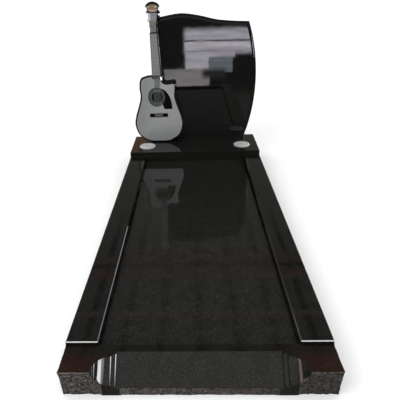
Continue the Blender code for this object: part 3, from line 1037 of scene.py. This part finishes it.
def broken_face(spot):
    """How deep a pitched face is broken away at a point: flakes, smaller flakes and grit."""
    depth = 0.0
    for size, share in PITCH_FLAKES:
        _, corners = noise.voronoi(spot / size)
        tilt = noise.noise_vector(corners[0] * FLAKE_STRIDE)
        slope = FLAKE_TILT * tilt.dot(spot / size - corners[0])
        depth += share * (0.5 + slope + FLAKE_STEP * tilt.z)
    grit_size, grit_share = PITCH_GRIT
    depth += grit_share * (0.5 + noise.noise(spot / grit_size))
    return PITCH_RELIEF * min(max(depth, 0.0), 1.0)


def pitched_share(point):
    """How much of the full relief a point on the block's outline has: none on the rubbed margins."""
    if point.y > FRONT + NEAR:
        return min((KERB_FRONT - point.y) / FADE_TO_KERB, 1.0)
    inner, outer = RUBBED_MARGIN
    if abs(point.x) < inner:
        return STRIP_SHARE * min((inner - abs(point.x)) / FADE_TO_STRIP, 1.0)
    return min(max((abs(point.x) - outer) / FADE_TO_END, 0.0), 1.0)


def pitched_path():
    """Points on the ground along the block's left end, its front and its right end."""
    turns = [(-HALF_WIDTH, KERB_FRONT), (-HALF_WIDTH, FRONT), (HALF_WIDTH, FRONT), (HALF_WIDTH, KERB_FRONT)]
    corners = [Vector((x, y, 0.0)) for x, y in turns]
    path = []
    for a, b in zip(corners, corners[1:]):
        steps = round((b - a).length / PITCH_SPACING)
        path += [a.lerp(b, step / steps) for step in range(steps)]
    return path + [corners[-1]]


def pitched_column(point, levels):
    """The broken face's points over one point on the ground, from the foot to the top."""
    inward = Vector()
    if point.y < FRONT + NEAR:
        inward.y = 1.0
    if abs(point.x) > HALF_WIDTH - NEAR:
        inward.x = -math.copysign(1.0, point.x)
    share = pitched_share(point)
    column = []
    for level in range(levels + 1):
        z = FRONT_KERB_HEIGHT * level / levels
        spot = Vector((*point.xy, z))
        near_top = min((FRONT_KERB_HEIGHT - z) / FADE_TO_TOP, 1.0)
        depth = broken_face(spot) * share * (TOP_SHARE + (1.0 - TOP_SHARE) * near_top)
        column.append(spot + inward * depth)
    return column


def pitched_block():
    """The kerb's block, its front and ends rough, its top, foot and back flat."""
    noise.seed_set(PITCH_SEED)
    levels = round(FRONT_KERB_HEIGHT / PITCH_SPACING)
    shape = bmesh.new()
    columns = []
    for point in pitched_path():
        columns.append([shape.verts.new(spot) for spot in pitched_column(point, levels)])
    for left, right in zip(columns, columns[1:]):
        for level in range(levels):
            face = shape.faces.new((left[level], right[level], right[level + 1], left[level + 1]))
            face.material_index = PITCHED_SLOT
    shape.faces.new([column[-1] for column in columns])
    shape.faces.new([column[0] for column in columns][::-1])
    shape.faces.new(columns[0] + columns[-1][::-1])
    bmesh.ops.recalc_face_normals(shape, faces=shape.faces)
    return object_from("front_kerb_stone", shape)


def panel_profile():
    """The panel's slope, and half the cut's section, as half widths and heights off the panel.

    The section goes over the panel, up two steps and up a cove.
    """
    first, second = STEP_HEIGHTS
    slope = math.atan2(FRONT_KERB_HEIGHT - PANEL_FOOT, PANEL_TOP_SETBACK)
    corner = (FRONT_KERB_HEIGHT - PANEL_FOOT) * math.cos(slope)
    profile = [(PANEL_HALF_WIDTH, 0.0), (PANEL_HALF_WIDTH, first - STEP_ARRIS)]
    profile += [(PANEL_HALF_WIDTH + STEP_ARRIS, first), (STEP_HALF_WIDTH, first)]
    profile += [(STEP_HALF_WIDTH, second - STEP_ARRIS), (STEP_HALF_WIDTH + STEP_ARRIS, second)]
    steps = 28
    for step in range(1, steps + 1):
        angle = math.pi / 2 * step / steps
        rise = (corner - second) * (1.0 - math.cos(angle))
        run = STEP_ARRIS + (COVE_WIDTH - STEP_ARRIS) * math.sin(angle)
        profile.append((STEP_HALF_WIDTH + run, second + rise))
    return slope, profile + [(profile[-1][0], 2 * corner)]


def add_front_kerb():
    finishes = (
        polished_granite("front_kerb_polished", tone=1.3, dullness=0.05),
        rock_granite("front_kerb_pitched"),
        polished_granite("front_panel_polished", tone=2.6, dullness=0.07),
    )
    kerb = pitched_block()
    slope, profile = panel_profile()
    outline = [(-x, h) for x, h in profile[::-1]] + profile
    place = Matrix.Translation((0.0, FRONT, PANEL_FOOT)) @ Matrix.Rotation(slope, 4, "X") @ UPRIGHT
    cutter = object_from("panel_cut", prism(outline, PANEL_CUT_LENGTH), place)
    for face in cutter.data.polygons:
        face.material_index = PANEL_SLOT
    give_materials(kerb, finishes)
    give_materials(cutter, finishes)
    combine(kerb, cutter, "DIFFERENCE")
    settled(kerb, [cutter])
    smoothed(kerb, angle=30)
    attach(kerb, "root")
    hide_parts("front_kerb")


# The lids


def lid_profile():
    """Radii and heights from the lid's middle over its rolled rim and back along its underside."""
    top = LID_UNDER + LID_THICKNESS
    dish, rise = [LID_RADIUS - inset for inset in LID_DISH_SLOPE]
    profile = [(0.0, top - LID_DISH), (dish, top - LID_DISH), (rise, top)]
    steps = 6
    for step in range(steps + 1):
        angle = math.pi / 2 * step / steps
        radius = LID_RADIUS - LID_ROLL + LID_ROLL * math.sin(angle)
        profile.append((radius, top - LID_ROLL + LID_ROLL * math.cos(angle)))
    return profile + [(LID_RADIUS, LID_UNDER), (0.0, LID_UNDER)]


def lid_pins():
    """Pins in rings, to pierce a lid with."""
    pins = bmesh.new()
    size = {"radius1": PIN_RADIUS, "radius2": PIN_RADIUS, "depth": PIN_LENGTH}
    for count, ring in PIN_RINGS:
        for number in range(count):
            angle = 2 * math.pi * number / count
            place = (ring * math.cos(angle), ring * math.sin(angle), LID_UNDER + LID_THICKNESS)
            made = bmesh.ops.create_cone(pins, cap_ends=True, segments=24, **size)
            bmesh.ops.translate(pins, vec=place, verts=made["verts"])
    return object_from("lid_holes", pins)


def add_lid(word, side, finish):
    """A flat lid with a rolled rim, pierced with rings of holes."""
    lid = turned(word + "_lid", lid_profile(), steps=72)
    pins = lid_pins()
    combine(lid, pins, "DIFFERENCE")
    settled(lid, [pins])
    soften(lid, LID_SOFTNESS, angle=50)
    lid.matrix_world = Matrix.Translation((side * HOLE_X, HOLE_Y, BASE_HEIGHT + RESTING_GAP))
    settled(lid, [])
    give_materials(lid, [finish])
    smoothed(lid, angle=35)
    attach(lid, "root")
    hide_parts(word + "_flower_lid")


# The blocks that keep their solids


def dress(node, finish):
    """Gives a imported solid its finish, and takes the sharpness off its edges."""
    for slot in node.material_slots:
        slot.material = finish.material
    soften(node, WORN_EDGE, angle=30)


def dress_blocks(nodes):
    dress(nodes["headstone_base"], polished_granite("base_polished", tone=2.4, dullness=0.05))
    dress(nodes["ledger_slab"], polished_granite("ledger_polished", tone=3.0, dullness=0.04))
    kerbs = kerb_granite("kerb_finish")
    dress(nodes["left_kerb"], kerbs)
    dress(nodes["right_kerb"], kerbs)
    metal = spun_metal("container_metal")
    for word in ("left", "right"):
        for slot in nodes[word + "_flower_container"].material_slots:
            slot.material = metal.material


# The studio


def plain_material(name, colour, glow=0.0):
    material = bpy.data.materials.new(name)
    material.use_nodes = True
    fill(
        material.node_tree,
        material.node_tree.nodes["Principled BSDF"],
        Base_Color=colour,
        Roughness=0.9,
        Specular_IOR_Level=0.0,
        Emission_Color=(1.0, 1.0, 1.0),
        Emission_Strength=glow,
    )
    material.cycles.emission_sampling = "NONE"
    return material


def add_studio():
    """A pale floor inside a large softly glowing tent. Polished stone doesn't mirror either."""
    shape = bmesh.new()
    bmesh.ops.create_circle(shape, cap_ends=True, segments=96, radius=FLOOR_RADIUS)
    floor = object_from("floor", shape)
    floor.data.materials.append(plain_material("floor_paper", (0.92, 0.92, 0.92)))
    shape = bmesh.new()
    bmesh.ops.create_uvsphere(shape, u_segments=64, v_segments=32, radius=TENT_RADIUS)
    tent = object_from("tent", shape)
    tent.data.materials.append(plain_material("tent_cloth", (0.0, 0.0, 0.0), TENT_GLOW))
    floor.visible_glossy = False
    tent.visible_glossy = False


def add_light(name, place, aim, size, power, mirrored=False):
    """A soft area light. A mirrored one only shows in the polish, any other only lights the stone."""
    light = bpy.data.lights.new(name, "AREA")
    light.shape = "RECTANGLE"
    light.size, light.size_y = size
    light.energy = power
    obj = bpy.data.objects.new(name, light)
    obj.location = place
    obj.rotation_euler = (Vector(aim) - Vector(place)).to_track_quat("-Z", "Y").to_euler()
    obj.visible_camera = False
    obj.visible_glossy = mirrored
    obj.visible_diffuse = not mirrored
    bpy.context.scene.collection.objects.link(obj)


def ceiling_colour(east, north, up):
    """A dim ceiling with dark strips and rust-coloured beams, flat and level over the plot."""
    height = up.most(0.05)
    across = east / height
    along = north / height
    strips = abs((across / CEILING_STRIP_SPACING + 0.42).math("FRACT") - 0.5).under(0.10, 0.05)
    colour = (strips * along.under(1.6, 0.3)).mix((0.128, 0.129, 0.108), (0.040, 0.040, 0.038))
    rust = along.between(*RUSTY_BEAM) * abs(across).ramp(0.15, 0.45, 0.15, 1.0)
    colour = rust.mix(colour, RUST)
    for near, far, soft, tone in CEILING_BEAMS:
        colour = along.between(near, far, soft).mix(colour, tone)
    return along.under(0.0, 0.6).mix(colour, (0.12, 0.12, 0.11))


def add_surroundings():
    """What the polished stone mirrors: a dim hall, a bright opening and softly lit cards."""
    world = bpy.data.worlds.new("surroundings")
    bpy.context.scene.world = world
    world.use_nodes = True
    tree = world.node_tree
    direction = tree.nodes.new("ShaderNodeTexCoord").outputs["Generated"]
    east, north, up = parts(tree, direction)
    elevation = up.math("ARCSINE") * math.degrees(1.0)
    azimuth = east.math("ARCTAN2", north * -1.0) * math.degrees(1.0)

    hall = elevation.ramp(0.0, 6.0).mix((0.075, 0.076, 0.078), ceiling_colour(east, north, up))
    low = abs(azimuth).under(16.0, 4.0).mix((0.10, 0.10, 0.09), (0.24, 0.24, 0.22))
    hall = elevation.under(-13.0, 1.0).mix(hall, low)
    streaks = noise_over(tree, direction, 1.0, 3.0, CARD_STREAKS).ramp(0.32, 0.68)
    for sides, levels, soft, tone in CARDS:
        share = azimuth.between(*sides, soft) * elevation.between(*levels, soft)
        hall = share.mix(hall, streaks.mix(scaled(tone, 0.84), scaled(tone, 1.14)))
    slanting = (elevation + azimuth * COVE_CARD_FALL).between(*COVE_CARD_LEVELS, 0.6)
    for sides, tone in COVE_CARDS:
        hall = (slanting * azimuth.between(*sides, 1.0)).mix(hall, tone)
    put(tree, tree.nodes["Background"].inputs["Color"], hall)
    world.cycles_visibility.camera = False
    world.cycles_visibility.diffuse = False


def add_camera():
    """The photograph's view."""
    turned_round = Matrix.Rotation(math.radians(CAMERA_YAW), 4, "Z")
    tilted_down = Matrix.Rotation(math.radians(90.0 - CAMERA_PITCH), 4, "X")
    rolled = Matrix.Rotation(math.radians(CAMERA_ROLL), 4, "Z")
    camera = bpy.data.cameras.new("camera")
    camera.sensor_width = 36.0
    camera.lens = CAMERA_LENS
    camera.shift_x, camera.shift_y = CAMERA_SHIFT
    obj = bpy.data.objects.new("camera", camera)
    obj.matrix_world = Matrix.Translation(CAMERA_PLACE) @ turned_round @ tilted_down @ rolled
    bpy.context.scene.collection.objects.link(obj)
    bpy.context.scene.camera = obj


def add_lights():
    """The light on the stone, and a small card that glints on the guitar's cutaway."""
    add_light("key", place=(-2.6, -2.2, 3.4), aim=(0.0, 0.2, 0.3), size=(2.6, 2.6), power=60.0)
    add_light(
        "cutaway_card",
        place=(0.900, 0.838, 0.785),
        aim=(-0.225, 0.967, 0.612),
        size=(0.05, 0.15),
        power=0.5,
        mirrored=True,
    )


def main():
    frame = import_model()
    add_camera()
    add_headstone()
    add_front_kerb()
    lid_metal = spun_metal("lid_metal")
    add_lid("left", -1, lid_metal)
    add_lid("right", 1, lid_metal)
    dress_blocks(frame["nodes"])
    add_studio()
    add_lights()
    add_surroundings()
    bpy.context.scene.view_settings.view_transform = "Standard"


main()
